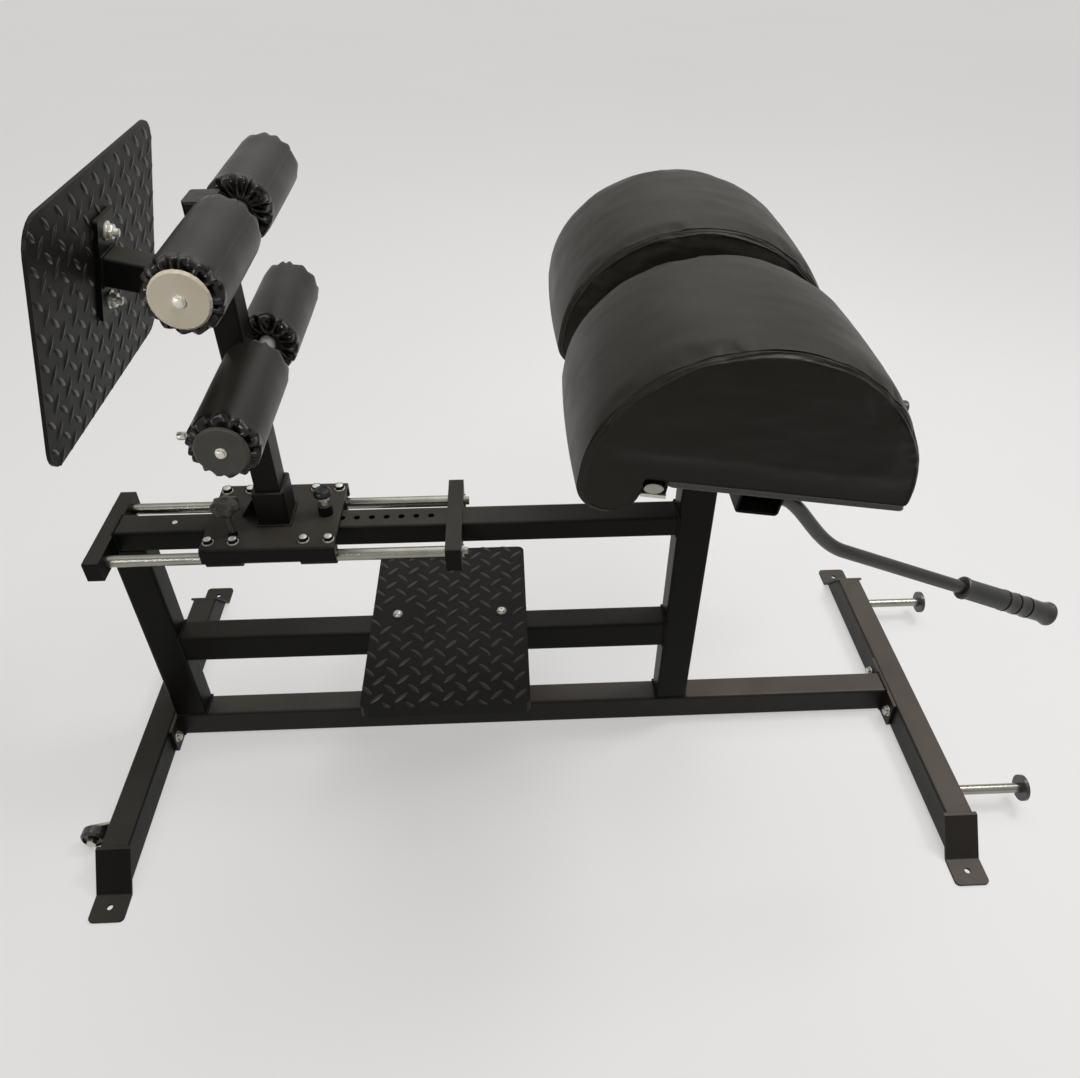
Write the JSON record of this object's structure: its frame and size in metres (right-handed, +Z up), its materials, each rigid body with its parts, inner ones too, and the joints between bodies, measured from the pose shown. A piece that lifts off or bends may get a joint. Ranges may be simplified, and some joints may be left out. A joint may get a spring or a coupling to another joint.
{
  "type": "glute ham developer",
  "caption": "Floor-standing glute ham bench: crowned hip pads on a tilted support facing a sliding foot carriage with ankle rollers and a foot plate.",
  "frame": {"origin": "on the floor, below the middle of the machine's bounding box", "axes": "+X from the foot plate end to the hip pad end, +Y to the left of somebody who faces +X, +Z up"},
  "size_m": [1.7326, 0.832, 1.1116],
  "materials": {
    "black_paint": "satin black powder coat",
    "tread_paint": "black powder coat over a raised tread",
    "chrome": "bright plated",
    "zinc": "zinc plated, slightly dull",
    "black_vinyl": "smooth black vinyl with a soft sheen",
    "black_plastic": "moulded, satin",
    "cream_plastic": "moulded, satin",
    "grey_plastic": "moulded, satin",
    "black_rubber": "matte moulded rubber",
    "plywood": "stained dark"
  },
  "bodies": {
    "frame": {"foot_end_crossbar": "black_paint", "pad_end_crossbar": "black_paint", "foot_end_foot_right": "black_paint", "foot_end_foot_left": "black_paint", "pad_end_foot_right": "black_paint", "pad_end_foot_left": "black_paint", "lower_beam": "black_paint", "foot_end_upright": "black_paint", "pad_end_upright": "black_paint", "mid_rail": "black_paint", "index_rail": "black_paint", "rod_bracket_foot_end": "black_paint", "rod_bracket_pad_end": "black_paint", "pad_cross_tube": "black_paint", "front_angle": "black_paint", "handle_right": "black_paint", "handle_left": "black_paint", "step_plate": "tread_paint", "guide_rod_right": "chrome", "guide_rod_left": "chrome", "storage_peg_right": "chrome", "storage_peg_left": "chrome", "front_rod": "chrome", "wheel_bracket_right": "zinc", "wheel_bracket_left": "zinc", "hip_pad_right": "black_vinyl", "hip_pad_left": "black_vinyl", "peg_stop_right": "black_rubber", "peg_stop_left": "black_rubber", "handle_grip_right": "black_rubber", "handle_grip_left": "black_rubber", "pad_board_right": "plywood", "pad_board_left": "plywood"},
    "foot_carriage": {"carriage_plate": "black_paint", "bearing_block_rear_right": "black_paint", "bearing_block_rear_left": "black_paint", "bearing_block_front_right": "black_paint", "bearing_block_front_left": "black_paint", "roller_post": "black_paint", "post_cap": "black_plastic", "post_pin": "zinc", "plate_arm": "black_paint", "foot_plate": "tread_paint", "plate_bolt_upper": "zinc", "plate_bolt_lower": "zinc", "axle_upper": "zinc", "axle_lower": "zinc", "pin_barrel": "black_paint"},
    "index_pin": {"index_pin": "zinc"},
    "clamp_knob": {"clamp_knob": "black_plastic"},
    "roller_upper_right": {"roller_upper_right": "black_vinyl", "roller_disc_upper_right": "cream_plastic"},
    "roller_upper_left": {"roller_upper_left": "black_vinyl", "roller_disc_upper_left": "cream_plastic"},
    "roller_lower_right": {"roller_lower_right": "black_vinyl", "roller_disc_lower_right": "grey_plastic"},
    "roller_lower_left": {"roller_lower_left": "black_vinyl", "roller_disc_lower_left": "grey_plastic"},
    "transport_wheel_right": {"transport_wheel_right": "black_rubber"},
    "transport_wheel_left": {"transport_wheel_left": "black_rubber"}
  },
  "joints": [
    {"name": "carriage_slide", "type": "slide", "parent": "frame", "child": "foot_carriage", "axis": [1, 0, 0], "range_m": [-0.15, 0.175]},
    {"name": "index_pin_drop", "type": "slide", "parent": "foot_carriage", "child": "index_pin", "axis": [0, 0, 1], "range_m": [-0.01, 0]},
    {"name": "clamp_knob_turn", "type": "hinge", "parent": "foot_carriage", "child": "clamp_knob", "pos_m": [-0.5303, -0.052, 0.6], "axis": [0, 0, 1], "range_deg": [-360, 360]},
    {"name": "roller_upper_right_spin", "type": "hinge", "parent": "foot_carriage", "child": "roller_upper_right", "pos_m": [-0.4355, 0, 1.034], "axis": [0, 1, 0], "continuous": true},
    {"name": "roller_upper_left_spin", "type": "hinge", "parent": "foot_carriage", "child": "roller_upper_left", "pos_m": [-0.4355, 0, 1.034], "axis": [0, 1, 0], "continuous": true},
    {"name": "roller_lower_right_spin", "type": "hinge", "parent": "foot_carriage", "child": "roller_lower_right", "pos_m": [-0.4355, 0, 0.835], "axis": [0, 1, 0], "continuous": true},
    {"name": "roller_lower_left_spin", "type": "hinge", "parent": "foot_carriage", "child": "roller_lower_left", "pos_m": [-0.4355, 0, 0.835], "axis": [0, 1, 0], "continuous": true},
    {"name": "wheel_right_spin", "type": "hinge", "parent": "frame", "child": "transport_wheel_right", "pos_m": [-0.8443, 0, 0.026], "axis": [0, 1, 0], "continuous": true},
    {"name": "wheel_left_spin", "type": "hinge", "parent": "frame", "child": "transport_wheel_left", "pos_m": [-0.8443, 0, 0.026], "axis": [0, 1, 0], "continuous": true}
  ]
}
